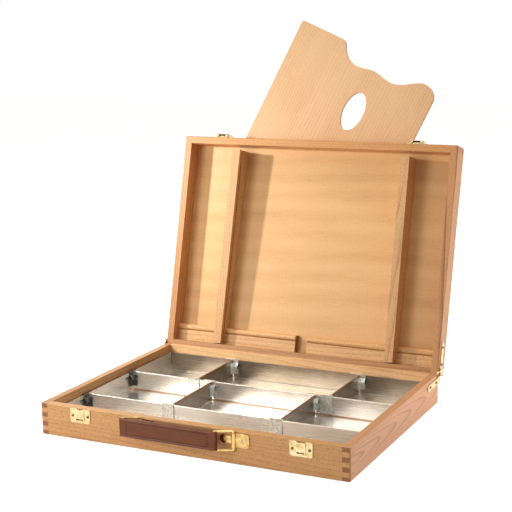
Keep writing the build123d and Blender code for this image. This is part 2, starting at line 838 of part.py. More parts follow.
def guide_bar(foot_x, head_x, groove_side):
    with BuildPart() as groove:
        with BuildSketch(lid_mid.offset(foot_x - bar_w)) as strip:
            near = groove_inset - groove_w / 2
            far = groove_inset + groove_w / 2
            with BuildLine():
                Polyline(
                    (-bar_foot + overrun, bar_front(bar_foot) + near),
                    (-bar_top - overrun, bar_front(bar_top) + near),
                    (-bar_top - overrun, bar_front(bar_top) + far),
                    (-bar_foot + overrun, bar_front(bar_foot) + far),
                    close=True,
                )
            make_face()
        extrude(amount=2 * bar_w + head_x - foot_x)
        with BuildSketch(lid_plane.offset(-bar_w)):
            edge = groove_side * bar_w / 2
            deep = edge - groove_side * groove_depth
            with BuildLine():
                Polyline(
                    (foot_x + edge + groove_side * overrun, -bar_foot + overrun),
                    (head_x + edge + groove_side * overrun, -bar_top - overrun),
                    (head_x + deep, -bar_top - overrun),
                    (foot_x + deep, -bar_foot + overrun),
                    close=True,
                )
            make_face()
        extrude(amount=bar_w + lid_height, mode=Mode.INTERSECT)
    with BuildPart() as bar:
        with BuildSketch(lid_mid.offset(foot_x - bar_w)):
            with BuildLine():
                Polyline(
                    (-bar_foot - bar_foot_bevel, bar_front(bar_foot + bar_foot_bevel)),
                    (-bar_top, bar_front(bar_top)),
                    (-bar_top, bar_back),
                    (-bar_foot, bar_back),
                    (-bar_foot, bar_low_back),
                    close=True,
                )
            make_face()
        extrude(amount=2 * bar_w + head_x - foot_x)
        with BuildSketch(lid_mid.offset(foot_x - bar_w)):
            ledge_section(seat_gap)
            with Locations((-board_t, (ledge_front + panel_face) / 2)):
                Rectangle(ledge_rise, panel_face - ledge_front + 2 * seat_gap)
        extrude(amount=2 * bar_w + head_x - foot_x, mode=Mode.SUBTRACT)
        with BuildSketch(lid_plane.offset(-bar_w)):
            with BuildLine():
                Polyline(
                    (foot_x - bar_w / 2, -bar_foot + overrun),
                    (foot_x + bar_w / 2, -bar_foot + overrun),
                    (head_x + bar_w / 2, -bar_top - overrun),
                    (head_x - bar_w / 2, -bar_top - overrun),
                    close=True,
                )
            make_face()
        extrude(amount=bar_w + lid_height, mode=Mode.INTERSECT)
        add(groove.part, mode=Mode.SUBTRACT)
    return bar.part


right_bar_x = side_x - right_bar_in
save(guide_bar(left_bar_foot_in - side_x, left_bar_head_in - side_x, 1), "guide_bar_left")
save(guide_bar(right_bar_x, right_bar_x, -1), "guide_bar_right")


# Palette, behind the open lid, with a straight horn, a waved top edge and an oval thumb hole

palette_up = (Vector(0, 1, 0)).rotate(Axis.Z, -palette_turn)
palette_corner = lid_plane.from_local_coords((palette_x, -palette_s, lid_height + seat_gap))
palette_plane = Plane(
    origin=palette_corner,
    x_dir=lid_plane.x_dir * palette_up.Y + lid_plane.y_dir * palette_up.X,
    z_dir=lid_plane.z_dir * -1,
)

horn_w = palette_w * horn_share
wave = [(palette_w * share, -drop) for share, drop in palette_wave]

with BuildPart() as palette:
    with BuildSketch(palette_plane.offset(-palette_t)) as board:
        with BuildLine():
            Line((0, 0), (horn_w, 0))
            Spline((horn_w, 0), *wave)
            Polyline(wave[-1], (palette_w, -palette_l), (0, -palette_l), (0, 0))
        make_face()
        square = [corner for corner in board.vertices() if corner.X < 1 or corner.Y < -palette_l / 2]
        fillet(square, palette_corner_r)
        with Locations((thumb_across, -thumb_along)):
            Ellipse(thumb_w / 2, thumb_l / 2, mode=Mode.SUBTRACT)
    extrude(amount=palette_t)

save(palette.part, "palette")
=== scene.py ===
from math import cos, exp, hypot, pi, radians, sin, sqrt

import bmesh
import bpy
from mathutils import Matrix, Vector


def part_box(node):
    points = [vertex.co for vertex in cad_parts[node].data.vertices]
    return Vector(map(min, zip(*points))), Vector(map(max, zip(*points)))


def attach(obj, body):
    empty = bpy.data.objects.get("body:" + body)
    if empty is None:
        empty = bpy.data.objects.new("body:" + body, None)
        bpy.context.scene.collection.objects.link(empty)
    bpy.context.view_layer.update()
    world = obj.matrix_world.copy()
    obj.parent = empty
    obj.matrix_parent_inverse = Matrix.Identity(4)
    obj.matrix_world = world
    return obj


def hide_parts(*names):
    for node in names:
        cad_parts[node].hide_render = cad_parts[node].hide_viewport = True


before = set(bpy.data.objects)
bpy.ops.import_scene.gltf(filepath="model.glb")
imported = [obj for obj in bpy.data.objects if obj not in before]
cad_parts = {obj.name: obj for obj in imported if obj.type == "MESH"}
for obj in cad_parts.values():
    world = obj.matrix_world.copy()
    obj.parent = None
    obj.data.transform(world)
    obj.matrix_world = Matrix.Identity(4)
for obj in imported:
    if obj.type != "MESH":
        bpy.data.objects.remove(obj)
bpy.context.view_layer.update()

MM = 0.001
TO_MM = 1000.0
LID_ANGLE = radians(104.4)
PALETTE_LEAN = 23.1  # degrees, from upright along the lid
WAVE_UNIT = 2 * pi / 20  # the distance between the bands of a wave texture of scale 1


# Shader helpers


def linear(hex_colour):
    """An sRGB hex colour as the linear RGBA that Blender's sockets take."""
    channels = [int(hex_colour[i : i + 2], 16) / 255 for i in (1, 3, 5)]
    return [c / 12.92 if c <= 0.04045 else ((c + 0.055) / 1.055) ** 2.4 for c in channels] + [1.0]


def add_node(tree, kind, values={}, links={}, stops=(), **settings):
    """One node: its properties, its sockets' values, what feeds it, and a ramp's colours."""
    node = tree.nodes.new(kind)
    for name, value in settings.items():
        setattr(node, name, value)
    for name, value in values.items():
        node.inputs[name].default_value = value
    for name, source in links.items():
        socket = source.outputs[0] if hasattr(source, "outputs") else source
        tree.links.new(socket, node.inputs[name])
    for number, (place, colour) in enumerate(stops):
        if number == len(node.color_ramp.elements):
            node.color_ramp.elements.new(place)
        node.color_ramp.elements[number].position = place
        node.color_ramp.elements[number].color = linear(colour)
    return node


def per_mm(along, across, through):
    """The scale that makes one unit of pattern as long as these sizes in millimetres."""
    return (1 / along, 1 / across, 1 / through)


def new_material(name, turn=(0.0, 0.0, 0.0)):
    """A material, and its space: the piece's own place in millimetres, x along the grain."""
    material = bpy.data.materials.new(name)
    material.use_nodes = True
    tree = material.node_tree
    tree.nodes.clear()
    place = add_node(tree, "ShaderNodeTexCoord")
    space = add_node(
        tree,
        "ShaderNodeMapping",
        {"Rotation": turn, "Scale": (TO_MM, TO_MM, TO_MM)},
        {"Vector": place.outputs["Object"]},
    )
    return material, tree, place, space


def finish_material(tree, values, links):
    """The surface shader with these settings, joined to the material's output."""
    shader = add_node(tree, "ShaderNodeBsdfPrincipled", values, links)
    add_node(tree, "ShaderNodeOutputMaterial", {}, {"Surface": shader})


def what_eyes_see(tree):
    """1 where the camera looks, straight or by way of metal and glass, and 0 for other light."""
    rays = add_node(tree, "ShaderNodeLightPath")
    straight = add_node(
        tree,
        "ShaderNodeMath",
        {},
        {0: rays.outputs["Is Camera Ray"], 1: rays.outputs["Is Transmission Ray"]},
        operation="MAXIMUM",
    )
    return add_node(
        tree,
        "ShaderNodeMath",
        {},
        {0: straight, 1: rays.outputs["Is Glossy Ray"]},
        operation="MAXIMUM",
    )


def piece_from(mesh, name, material=None):
    """Turns a finished mesh into an object of the scene, in this material."""
    data = bpy.data.meshes.new(name)
    mesh.to_mesh(data)
    mesh.free()
    piece = bpy.data.objects.new(name, data)
    bpy.context.scene.collection.objects.link(piece)
    if material:
        data.materials.append(material)
    return piece


# Woods

ALONG_X = (0.0, 0.0, 0.0)
ALONG_Y = (0.0, 0.0, -pi / 2)
LID_ALONG_X = (LID_ANGLE, 0.0, 0.0)
LID_ALONG_S = (LID_ANGLE, 0.0, -pi / 2)
ALONG_PALETTE = (LID_ANGLE, 0.0, radians(90.0 - PALETTE_LEAN))
GRAIN_AXIS = {
    ALONG_X: Vector((1, 0, 0)),
    ALONG_Y: Vector((0, 1, 0)),
    LID_ALONG_X: Vector((1, 0, 0)),
    LID_ALONG_S: Vector((0, -cos(LID_ANGLE), sin(LID_ANGLE))),
}
LID_FACING = Vector((0, sin(LID_ANGLE), cos(LID_ANGLE)))
DARK_ENDS = ("#6F3F22", "#A0633A")
PALE_ENDS = ("#B07A50", "#D09B70")


def varnished_beech(name, turn, light, mid, dark, heart, seed, ring_mm, ring_depth, ends=DARK_ENDS):
    """Steamed beech, planed and satin varnished: tan, with thin growth lines and short dark flecks.

    heart is where the tree's centre lies from the box's, in mm through the board and up it, and
    how far it leans out of the board, which draws the long pointed arches of a sawn face.
    """
    material, tree, place, space = new_material(name, turn)
    through, up_board, lean = heart

    # Growth rings round a distant centre line, drawn out 18 times along it: each darkens slowly
    # and ends in a thin line
    leaning = add_node(
        tree,
        "ShaderNodeMapping",
        {"Location": (seed * 31.0, through, up_board), "Rotation": (0, 0, lean)},
        {"Vector": space},
    )
    drawn_out = add_node(
        tree, "ShaderNodeMapping", {"Scale": per_mm(18, 1, 1)}, {"Vector": leaning}
    )
    rings = add_node(
        tree,
        "ShaderNodeTexWave",
        {
            "Scale": WAVE_UNIT / ring_mm,
            "Distortion": 3.5,
            "Detail": 2.5,
            "Detail Scale": 0.5,
            "Detail Roughness": 0.5,
        },
        {"Vector": drawn_out},
        wave_type="RINGS",
        rings_direction="X",
        wave_profile="SAW",
    )
    late_wood = add_node(
        tree, "ShaderNodeMath", {1: 3.5}, {0: rings.outputs["Fac"]}, operation="POWER"
    )
    ring_part = add_node(
        tree, "ShaderNodeMath", {1: ring_depth}, {0: late_wood}, operation="MULTIPLY"
    )

    # Slow changes of tone along each board
    tone_place = add_node(
        tree,
        "ShaderNodeMapping",
        {"Location": (seed, seed * 0.7, 0), "Scale": per_mm(190, 15, 15)},
        {"Vector": space},
    )
    tone = add_node(
        tree,
        "ShaderNodeTexNoise",
        {"Scale": 1.0, "Detail": 3.0, "Roughness": 0.55},
        {"Vector": tone_place},
    )
    tone_part = add_node(
        tree, "ShaderNodeMath", {1: 0.45}, {0: tone, 2: ring_part}, operation="MULTIPLY_ADD"
    )

    # Fibre: streaks about a millimetre wide and 40 mm long
    fibre_place = add_node(
        tree,
        "ShaderNodeMapping",
        {"Location": (0, seed, 0), "Scale": per_mm(40, 1.2, 1.2)},
        {"Vector": space},
    )
    fibre = add_node(
        tree,
        "ShaderNodeTexNoise",
        {"Scale": 1.0, "Detail": 4.0, "Roughness": 0.7},
        {"Vector": fibre_place},
    )
    mixed = add_node(
        tree, "ShaderNodeMath", {1: 0.5}, {0: fibre, 2: tone_part}, operation="MULTIPLY_ADD"
    )
    levels = add_node(
        tree, "ShaderNodeMapRange", {"From Min": 0.22, "From Max": 0.90}, {"Value": mixed}
    )
    face = add_node(
        tree, "ShaderNodeValToRGB", {}, {"Fac": levels}, [(0.0, light), (0.5, mid), (1.0, dark)]
    )

    # Rays: the short dark flecks of beech, about 2.8 mm long
    fleck_place = add_node(
        tree,
        "ShaderNodeMapping",
        {"Location": (seed * 3, 0, 0), "Scale": per_mm(2.8, 0.75, 0.75)},
        {"Vector": space},
    )
    flecks = add_node(
        tree,
        "ShaderNodeTexNoise",
        {"Scale": 1.0, "Detail": 1.0, "Roughness": 0.4},
        {"Vector": fleck_place},
    )
    fleck_mask = add_node(
        tree,
        "ShaderNodeMapRange",
        {"From Min": 0.58, "From Max": 0.68, "To Max": 0.5},
        {"Value": flecks},
    )
    flecked = add_node(
        tree,
        "ShaderNodeMix",
        {"B": linear(dark)},
        {"Factor": fleck_mask, "A": face},
        data_type="RGBA",
        blend_type="MULTIPLY",
    )

    # End grain drinks more varnish: darker and redder where the grain meets the surface
    facing = add_node(
        tree,
        "ShaderNodeVectorMath",
        {1: GRAIN_AXIS[turn]},
        {0: place.outputs["Normal"]},
        operation="DOT_PRODUCT",
    )
    size = add_node(tree, "ShaderNodeMath", {}, {0: facing.outputs["Value"]}, operation="ABSOLUTE")
    end_mask = add_node(
        tree,
        "ShaderNodeMapRange",
        {"From Min": 0.75, "From Max": 0.95, "To Max": 0.85},
        {"Value": size},
    )
    pore_place = add_node(
        tree, "ShaderNodeMapping", {"Scale": per_mm(1.4, 1.4, 1.4)}, {"Vector": space}
    )
    pores = add_node(
        tree, "ShaderNodeTexNoise", {"Scale": 1.0, "Detail": 3.0}, {"Vector": pore_place}
    )
    end_colour = add_node(
        tree, "ShaderNodeValToRGB", {}, {"Fac": pores}, [(0.35, ends[0]), (0.65, ends[1])]
    )
    colour = add_node(
        tree,
        "ShaderNodeMix",
        {},
        {"Factor": end_mask, "A": flecked.outputs["Result"], "B": end_colour},
        data_type="RGBA",
    )
    bump = add_node(
        tree, "ShaderNodeBump", {"Strength": 0.10, "Distance": 0.1 * MM}, {"Height": fibre}
    )
    finish_material(
        tree,
        {"Roughness": 0.5, "IOR": 1.48, "Coat Weight": 0.08, "Coat Roughness": 0.25},
        {"Base Color": colour.outputs["Result"], "Normal": bump},
    )
    return material


def veneered_plywood(
    name, turn, light, mid, dark, seed, figure_mm, figure_run, figure_depth, edge_axis, plies_mm
):
    """Sanded birch-faced plywood under varnish: honey coloured, with faint wavy figure and flecks.

    The figure is figure_run times as long as it is wide: sliced veneer runs straight, and peeled
    veneer wanders.
    Its edge shows the crossed plies as bands along edge_axis, plies_mm apart.
    """
    material, tree, place, space = new_material(name, turn)
    figure_place = add_node(
        tree,
        "ShaderNodeMapping",
        {"Location": (seed, seed, 0), "Scale": per_mm(figure_run, 1, 1)},
        {"Vector": space},
    )
    figure = add_node(
        tree,
        "ShaderNodeTexWave",
        {
            "Scale": WAVE_UNIT / figure_mm,
            "Distortion": 9.0,
            "Detail": 2.0,
            "Detail Scale": 0.35,
            "Detail Roughness": 0.5,
        },
        {"Vector": figure_place},
        wave_type="BANDS",
        bands_direction="Y",
        wave_profile="SIN",
    )
    figure_part = add_node(
        tree,
        "ShaderNodeMath",
        {1: figure_depth},
        {0: figure.outputs["Fac"]},
        operation="MULTIPLY",
    )
    tone_place = add_node(
        tree,
        "ShaderNodeMapping",
        {"Location": (seed, 0, 0), "Scale": per_mm(150, 34, 34)},
        {"Vector": space},
    )
    tone = add_node(
        tree,
        "ShaderNodeTexNoise",
        {"Scale": 1.0, "Detail": 3.0, "Roughness": 0.5},
        {"Vector": tone_place},
    )
    tone_part = add_node(
        tree, "ShaderNodeMath", {1: 0.5}, {0: tone, 2: figure_part}, operation="MULTIPLY_ADD"
    )
    fibre_place = add_node(
        tree,
        "ShaderNodeMapping",
        {"Location": (0, seed, 0), "Scale": per_mm(30, 1.3, 1.3)},
        {"Vector": space},
    )
    fibre = add_node(
        tree,
        "ShaderNodeTexNoise",
        {"Scale": 1.0, "Detail": 4.0, "Roughness": 0.65},
        {"Vector": fibre_place},
    )
    mixed = add_node(
        tree, "ShaderNodeMath", {1: 0.4}, {0: fibre, 2: tone_part}, operation="MULTIPLY_ADD"
    )
    levels = add_node(
        tree, "ShaderNodeMapRange", {"From Min": 0.12, "From Max": 0.92}, {"Value": mixed}
    )
    face = add_node(
        tree, "ShaderNodeValToRGB", {}, {"Fac": levels}, [(0.0, light), (0.5, mid), (1.0, dark)]
    )
    fleck_place = add_node(
        tree, "ShaderNodeMapping", {"Scale": per_mm(3.5, 0.8, 0.8)}, {"Vector": space}
    )
    flecks = add_node(
        tree,
        "ShaderNodeTexNoise",
        {"Scale": 1.0, "Detail": 1.0, "Roughness": 0.4},
        {"Vector": fleck_place},
    )
    fleck_mask = add_node(
        tree,
        "ShaderNodeMapRange",
        {"From Min": 0.60, "From Max": 0.74, "To Max": 0.35},
        {"Value": flecks},
    )
    flecked = add_node(
        tree,
        "ShaderNodeMix",
        {"B": linear(dark)},
        {"Factor": fleck_mask, "A": face},
        data_type="RGBA",
        blend_type="MULTIPLY",
    )

    facing = add_node(
        tree,
        "ShaderNodeVectorMath",
        {1: edge_axis},
        {0: place.outputs["Normal"]},
        operation="DOT_PRODUCT",
    )
    size = add_node(tree, "ShaderNodeMath", {}, {0: facing.outputs["Value"]}, operation="ABSOLUTE")
    edge_mask = add_node(
        tree, "ShaderNodeMapRange", {"From Min": 0.75, "From Max": 0.55}, {"Value": size}
    )
    depth = add_node(
        tree,
        "ShaderNodeVectorMath",
        {1: edge_axis * (TO_MM / plies_mm)},
        {0: place.outputs["Object"]},
        operation="DOT_PRODUCT",
    )
    ply = add_node(
        tree, "ShaderNodeMath", {1: 1.0}, {0: depth.outputs["Value"]}, operation="PINGPONG"
    )
    edge = add_node(
        tree, "ShaderNodeValToRGB", {}, {"Fac": ply}, [(0.35, "#C08850"), (0.6, "#8E5528")]
    )
    colour = add_node(
        tree,
        "ShaderNodeMix",
        {},
        {"Factor": edge_mask, "A": flecked.outputs["Result"], "B": edge},
        data_type="RGBA",
    )
    bump = add_node(
        tree, "ShaderNodeBump", {"Strength": 0.08, "Distance": 0.1 * MM}, {"Height": fibre}
    )
    finish_material(
        tree,
        {"Roughness": 0.5, "IOR": 1.48, "Coat Weight": 0.06, "Coat Roughness": 0.3},
        {"Base Color": colour.outputs["Result"], "Normal": bump},
    )
    return material


# Metals


def plated_brass(name, light, dark, roughness):
    """Stamped and brass-plated steel: pale gold, bright, with a faint unevenness from the press."""
    material, tree, _, space = new_material(name)
    dent_place = add_node(
        tree, "ShaderNodeMapping", {"Scale": per_mm(3.5, 3.5, 3.5)}, {"Vector": space}
    )
    dents = add_node(
        tree, "ShaderNodeTexNoise", {"Scale": 1.0, "Detail": 2.0}, {"Vector": dent_place}
    )
    tarnish_place = add_node(
        tree, "ShaderNodeMapping", {"Scale": per_mm(6, 6, 6)}, {"Vector": space}
    )
    tarnish = add_node(
        tree, "ShaderNodeTexNoise", {"Scale": 1.0, "Detail": 4.0}, {"Vector": tarnish_place}
    )
    colour = add_node(
        tree, "ShaderNodeValToRGB", {}, {"Fac": tarnish}, [(0.35, light), (0.75, dark)]
    )
    bump = add_node(
        tree, "ShaderNodeBump", {"Strength": 0.5, "Distance": 0.3 * MM}, {"Height": dents}
    )
    finish_material(
        tree,
        {"Metallic": 1.0, "Roughness": roughness},
        {"Base Color": colour, "Normal": bump},
    )
    return material


def blackened_pins():
    """Steel pins with a black oxide skin and oil on it: nearly black, with a dull gleam."""
    material, tree, _, space = new_material("blackened_steel_pins")
    skin_place = add_node(
        tree, "ShaderNodeMapping", {"Scale": per_mm(1.5, 1.5, 1.5)}, {"Vector": space}
    )
    skin = add_node(
        tree, "ShaderNodeTexNoise", {"Scale": 1.0, "Detail": 3.0}, {"Vector": skin_place}
    )
    colour = add_node(
        tree, "ShaderNodeValToRGB", {}, {"Fac": skin}, [(0.35, "#2A2019"), (0.65, "#4A3826")]
    )
    finish_material(tree, {"Metallic": 1.0, "Roughness": 0.4}, {"Base Color": colour})
    return material


def rolled_aluminium(name, turn, brown_line_z, light="#F5F2ED", dark="#D8D2C9", forward_face_shade="#FFFFFF"):
    """Mill-finish aluminium sheet: pale, softly reflecting, with fine lines from the rolls.

    The lines are drawn 0.6 mm apart, several times coarser than they are, so that they show.
    A brown line 1.6 mm wide is drawn across it at the given height in mm.
    A face turned forward is darkened by the last colour given, as painted shade.
    """
    material, tree, place, space = new_material(name, turn)
    line_place = add_node(
        tree, "ShaderNodeMapping", {"Scale": per_mm(60, 0.6, 0.6)}, {"Vector": space}
    )
    lines = add_node(
        tree,
        "ShaderNodeTexNoise",
        {"Scale": 1.0, "Detail": 4.0, "Roughness": 0.7},
        {"Vector": line_place},
    )
    cloud_place = add_node(
        tree, "ShaderNodeMapping", {"Scale": per_mm(60, 24, 24)}, {"Vector": space}
    )
    clouds = add_node(
        tree, "ShaderNodeTexNoise", {"Scale": 1.0, "Detail": 3.0}, {"Vector": cloud_place}
    )
    mixed = add_node(
        tree, "ShaderNodeMath", {1: 0.5}, {0: lines, 2: clouds}, operation="MULTIPLY_ADD"
    )
    metal = add_node(
        tree, "ShaderNodeValToRGB", {}, {"Fac": mixed}, [(0.5, light), (1.0, dark)]
    )
    # A brown line at one height: at the long dividers' feet it is painted shade and painted
    # reflection
    height = add_node(tree, "ShaderNodeSeparateXYZ", {}, {"Vector": space})
    away = add_node(
        tree, "ShaderNodeMath", {1: brown_line_z}, {0: height.outputs["Z"]}, operation="SUBTRACT"
    )
    away = add_node(tree, "ShaderNodeMath", {}, {0: away}, operation="ABSOLUTE")
    brown_line_mask = add_node(
        tree,
        "ShaderNodeMapRange",
        {"From Min": 1.0, "From Max": 0.6, "To Max": 0.85},
        {"Value": away},
    )
    # Painted shade: faces turned forward are multiplied by a darker colour
    facing = add_node(
        tree,
        "ShaderNodeVectorMath",
        {1: (0, -1, 0)},
        {0: place.outputs["Normal"]},
        operation="DOT_PRODUCT",
    )
    painted_shade_mask = add_node(
        tree,
        "ShaderNodeMapRange",
        {"From Min": 0.3, "From Max": 0.8},
        {"Value": facing.outputs["Value"]},
    )
    shaded_metal = add_node(
        tree,
        "ShaderNodeMix",
        {"B": linear(forward_face_shade)},
        {"Factor": painted_shade_mask, "A": metal},
        data_type="RGBA",
        blend_type="MULTIPLY",
    )
    colour = add_node(
        tree,
        "ShaderNodeMix",
        {"B": linear("#A0663A")},
        {"Factor": brown_line_mask, "A": shaded_metal.outputs["Result"]},
        data_type="RGBA",
    )
    rough = add_node(
        tree, "ShaderNodeMapRange", {"To Min": 0.2, "To Max": 0.32}, {"Value": lines}
    )
    bump = add_node(
        tree, "ShaderNodeBump", {"Strength": 0.06, "Distance": 0.05 * MM}, {"Height": lines}
    )
    finish_material(
        tree,
        {"Metallic": 0.8},
        {"Base Color": colour.outputs["Result"], "Roughness": rough, "Normal": bump},
    )
    return material


def galvanised_steel(name, light, mid, dark):
    """Hot-dip galvanised spring sheet: grey, with a faint mosaic of zinc crystals 2.2 mm across."""
    material, tree, _, space = new_material(name)
    crystal_place = add_node(
        tree, "ShaderNodeMapping", {"Scale": per_mm(2.2, 2.2, 2.2)}, {"Vector": space}
    )
    crystals = add_node(tree, "ShaderNodeTexVoronoi", {"Scale": 1.0}, {"Vector": crystal_place})
    grey = add_node(tree, "ShaderNodeSeparateColor", {}, {"Color": crystals.outputs["Color"]})
    colour = add_node(
        tree,
        "ShaderNodeValToRGB",
        {},
        {"Fac": grey},
        [(0.1, light), (0.55, mid), (0.9, dark)],
    )
    rough = add_node(
        tree,
        "ShaderNodeMapRange",
        {"To Min": 0.28, "To Max": 0.42},
        {"Value": grey.outputs[1]},
    )
    finish_material(tree, {"Metallic": 0.6}, {"Base Color": colour, "Roughness": rough})
    return material


# Leather


def waxed_leather():
    """Bonded hide, pressed and waxed: chestnut brown, a fine pebbled grain and a soft gloss."""
    material, tree, _, space = new_material("waxed_leather")
    pebble_place = add_node(
        tree, "ShaderNodeMapping", {"Scale": per_mm(0.9, 0.9, 0.9)}, {"Vector": space}
    )
    pebble = add_node(
        tree, "ShaderNodeTexVoronoi", {"Scale": 1.0}, {"Vector": pebble_place}, feature="SMOOTH_F1"
    )
    mottle_place = add_node(
        tree, "ShaderNodeMapping", {"Scale": per_mm(16, 9, 9)}, {"Vector": space}
    )
    mottle = add_node(
        tree, "ShaderNodeTexNoise", {"Scale": 1.0, "Detail": 4.0}, {"Vector": mottle_place}
    )
    colour = add_node(
        tree, "ShaderNodeValToRGB", {}, {"Fac": mottle}, [(0.3, "#653318"), (0.7, "#743E20")]
    )
    bump = add_node(
        tree,
        "ShaderNodeBump",
        {"Strength": 0.3, "Distance": 0.2 * MM},
        {"Height": pebble.outputs["Distance"]},
    )
    finish_material(
        tree,
        {"Roughness": 0.42, "IOR": 1.46, "Specular IOR Level": 0.35, "Coat Weight": 0.05},
        {"Base Color": colour, "Normal": bump},
    )
    return material


def waxed_thread():
    """Twisted linen thread, waxed almost black, sunk in its holes; the twist is 0.7 mm long."""
    material, tree, _, space = new_material("waxed_thread")
    twist_place = add_node(
        tree, "ShaderNodeMapping", {"Scale": per_mm(0.7, 0.7, 0.7)}, {"Vector": space}
    )
    twist = add_node(tree, "ShaderNodeTexNoise", {"Scale": 1.0}, {"Vector": twist_place})
    colour = add_node(
        tree, "ShaderNodeValToRGB", {}, {"Fac": twist}, [(0.3, "#160B07"), (0.7, "#2A1710")]
    )
    finish_material(tree, {"Roughness": 0.9, "Specular IOR Level": 0.1}, {"Base Color": colour})
    return material


front_beech = varnished_beech(
    "front_board_beech", ALONG_X, "#DDAC76", "#D2A068", "#A87242",
    (260, 30, 0.02), 1.0, 2.6, 0.25, PALE_ENDS,
)
# Painted light: the back board is coloured paler than its beech, for the light its top edge catches
lit_back_beech = varnished_beech(
    "back_board_beech_painted_light", ALONG_X, "#F4CFA0", "#ECC08C", "#C48F5A",
    (-200, -20, -0.03), 4.0, 3.4, 0.3, PALE_ENDS,
)
left_beech = varnished_beech(
    "left_board_beech", ALONG_Y, "#C79966", "#B88A58", "#966339",
    (-190, -12, 0.04), 7.0, 3.6, 0.35,
)
right_beech = varnished_beech(
    "right_board_beech", ALONG_Y, "#E3B086", "#D79F75", "#AE7650",
    (243, -26, 0.05), 2.0, 3.0, 0.42,
)
lid_beech_across = varnished_beech(
    "lid_rail_beech", LID_ALONG_X, "#DCA66C", "#CC935A", "#A66A38",
    (200, 60, 0.02), 5.0, 2.8, 0.3,
)
lid_hinge_beech = varnished_beech(
    "lid_hinge_rail_beech", LID_ALONG_X, "#BF8F5D", "#B1804F", "#8C5C2B",
    (200, 60, 0.02), 12.0, 2.8, 0.3,
)
lid_left_beech = varnished_beech(
    "lid_left_stile_beech", LID_ALONG_S, "#CF9A64", "#BD8856", "#966236",
    (150, 60, 0.02), 6.0, 3.2, 0.4,
)
lid_right_beech = varnished_beech(
    "lid_right_stile_beech", LID_ALONG_S, "#D49E6C", "#C68F5E", "#98643C",
    (150, 120, 0.04), 8.0, 3.4, 0.5,
)
bar_beech = varnished_beech(
    "guide_bar_beech", LID_ALONG_S, "#E0B07E", "#D3A26E", "#A87244",
    (90, 150, 0.02), 9.0, 2.6, 0.3,
)
ledge_beech = varnished_beech(
    "ledge_beech", LID_ALONG_X, "#E6BC86", "#D9AA74", "#B27C4A",
    (200, 90, 0.02), 3.0, 2.6, 0.3,
)
panel_plywood = veneered_plywood(
    "lid_panel_plywood", LID_ALONG_X, "#E8C18B", "#DCAD74", "#BE8850",
    11.0, 30.0, 3.0, 0.12, LID_FACING, 1.2,
)
bottom_plywood = veneered_plywood(
    "bottom_plywood", ALONG_X, "#E4C290", "#D6AC78", "#B98A58",
    13.0, 16.0, 9.0, 0.14, Vector((0, 0, 1)), 1.3,
)
palette_plywood = veneered_plywood(
    "palette_plywood", ALONG_PALETTE, "#EBC69B", "#E0B68A", "#C0905F",
    17.0, 5.0, 9.0, 0.15, LID_FACING, 1.33,
)
brass_plate = plated_brass("plated_brass", "#E6D6AC", "#BDA060", 0.24)
brass_mount = plated_brass("polished_brass_mounts", "#E0C083", "#A98345", 0.18)
brass_wire = plated_brass("brass_wire", "#E6CB8C", "#BF9C56", 0.2)
brass_screw = plated_brass("brass_screw_heads", "#8A6C3E", "#4E3719", 0.35)
bright_screw = plated_brass("polished_screw_heads", "#CDBF9F", "#80693F", 0.18)
dark_pins = blackened_pins()
FOOT_SHADE_LINE = 0.6  # mm, from the long dividers' feet up to their brown line of painted shade and painted reflection
RIM_BROWN_LINE = 2.4  # mm, from the dividers' tops down to the cross dividers' brown line
divider_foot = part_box("long_divider_middle")[0].z / MM
divider_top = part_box("long_divider_middle")[1].z / MM
# The tray's walls that face forward get a painted shade
tray_sheet = rolled_aluminium("tray_aluminium", ALONG_X, 0.0, forward_face_shade="#B4AA9C")
long_sheet = rolled_aluminium("long_divider_aluminium", ALONG_X, divider_foot + FOOT_SHADE_LINE)
# Painted shade: the cross dividers are the same sheet, coloured darker for the shade on their faces
shaded_cross_sheet = rolled_aluminium(
    "cross_divider_aluminium_painted_shade", ALONG_Y, divider_top - RIM_BROWN_LINE, "#A69D93", "#80776E"
)
zinc = galvanised_steel("galvanised_steel", "#F2F2EC", "#E2E3DC", "#C9CCC5")
# Painted shade: the wall clips are the same galvanised sheet, coloured dark for the shade in and
# around them
shaded_zinc = galvanised_steel("galvanised_steel_painted_shade", "#85867F", "#6A6B66", "#4D4F4C")
hide = waxed_leather()
thread = waxed_thread()

FINISHES = {
    "base_front_board": front_beech,
    "base_back_board": lit_back_beech,
    "base_left_board": left_beech,
    "base_right_board": right_beech,
    "base_bottom_panel": bottom_plywood,
    "lid_front_rail": lid_beech_across,
    "lid_back_rail": lid_hinge_beech,
    "lid_left_rail": lid_left_beech,
    "lid_right_rail": lid_right_beech,
    "lid_panel": panel_plywood,
    "ledge_left": ledge_beech,
    "ledge_right": ledge_beech,
    "guide_bar_left": bar_beech,
    "guide_bar_right": bar_beech,
    "palette": palette_plywood,
    "paint_tray": tray_sheet,
    "long_divider_front": long_sheet,
    "long_divider_middle": long_sheet,
    "wall_clips": shaded_zinc,
    "hinge_pins": brass_screw,
    "handle_screws": bright_screw,
    "handle_mount_left": brass_mount,
    "handle_mount_right": brass_mount,
    "latch_pins": dark_pins,
}
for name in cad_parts:
    if name.startswith("cross_divider"):
        FINISHES[name] = shaded_cross_sheet
    elif name.startswith("divider_clips"):
        FINISHES[name] = zinc
    elif name.endswith("_screws") and name not in FINISHES:
        FINISHES[name] = brass_screw
    elif name.startswith("handle_ring"):
        FINISHES[name] = brass_wire
    elif name not in FINISHES:
        FINISHES[name] = brass_plate

for name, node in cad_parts.items():
    node.data.materials.clear()
    node.data.materials.append(FINISHES[name])


# Leather grip: folded round both wires, pressed, and stitched in a long rectangle; sizes in mm

